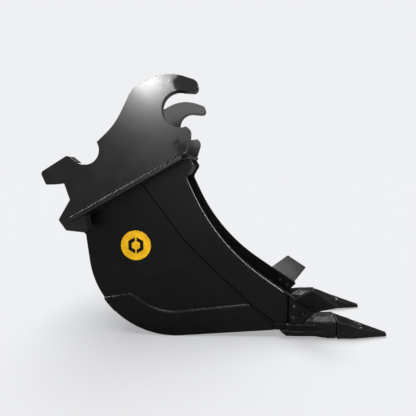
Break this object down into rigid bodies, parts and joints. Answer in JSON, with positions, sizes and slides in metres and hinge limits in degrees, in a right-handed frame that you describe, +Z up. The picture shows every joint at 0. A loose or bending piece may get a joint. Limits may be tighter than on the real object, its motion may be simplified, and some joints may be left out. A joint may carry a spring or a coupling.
{
  "type": "excavator bucket",
  "caption": "Narrow trenching bucket for an excavator, with hooked quick-coupler ears, bolted side cutters and pinned tooth points.",
  "frame": {"origin": "middle of the bounding box at its lowest level, which is the ground that the heel and the tooth tips stand on", "axes": "+X from the heel towards the tooth tips, +Y from the left side to the right side across the bucket, +Z up"},
  "size_m": [1.4292, 0.496, 1.0896],
  "materials": {
    "ear_paint": "gloss black enamel on thick plate, scuffed at the hook",
    "shell_paint": "gloss black enamel",
    "cutter_paint": "gloss black enamel, thin at the edges",
    "fastener_paint": "overpainted bolt steel",
    "tooth_paint": "black enamel on rough cast steel",
    "pin_steel": "plain hardened steel, blackened",
    "badge_film": "yellow vinyl disc with a plain black motif"
  },
  "bodies": {
    "bucket": {"top_plate": "shell_paint", "rear_cross_plate": "shell_paint", "front_cross_plate": "shell_paint", "cross_tube": "shell_paint", "wrapper_sheet": "shell_paint", "mouth_header": "shell_paint", "lip_plate": "shell_paint", "left_ear": "ear_paint", "right_ear": "ear_paint", "left_side_plate": "shell_paint", "right_side_plate": "shell_paint", "left_rim_band": "shell_paint", "right_rim_band": "shell_paint", "left_heel_plate": "shell_paint", "right_heel_plate": "shell_paint", "left_side_cutter": "cutter_paint", "right_side_cutter": "cutter_paint", "left_cutter_bolts": "fastener_paint", "right_cutter_bolts": "fastener_paint", "left_cutter_washers": "fastener_paint", "right_cutter_washers": "fastener_paint", "left_cutter_nuts": "fastener_paint", "right_cutter_nuts": "fastener_paint", "left_adapter": "tooth_paint", "right_adapter": "tooth_paint", "left_tooth_point": "tooth_paint", "right_tooth_point": "tooth_paint", "left_pin_retainer": "pin_steel", "right_pin_retainer": "pin_steel", "left_badge": "badge_film", "right_badge": "badge_film"},
    "left_tooth_pin": {"left_tooth_pin": "pin_steel"},
    "right_tooth_pin": {"right_tooth_pin": "pin_steel"}
  },
  "joints": [
    {"name": "left_pin_drive", "type": "slide", "parent": "bucket", "child": "left_tooth_pin", "axis": [0, -1, 0], "range_m": [0, 0.085]},
    {"name": "right_pin_drive", "type": "slide", "parent": "bucket", "child": "right_tooth_pin", "axis": [0, 1, 0], "range_m": [0, 0.085]}
  ]
}
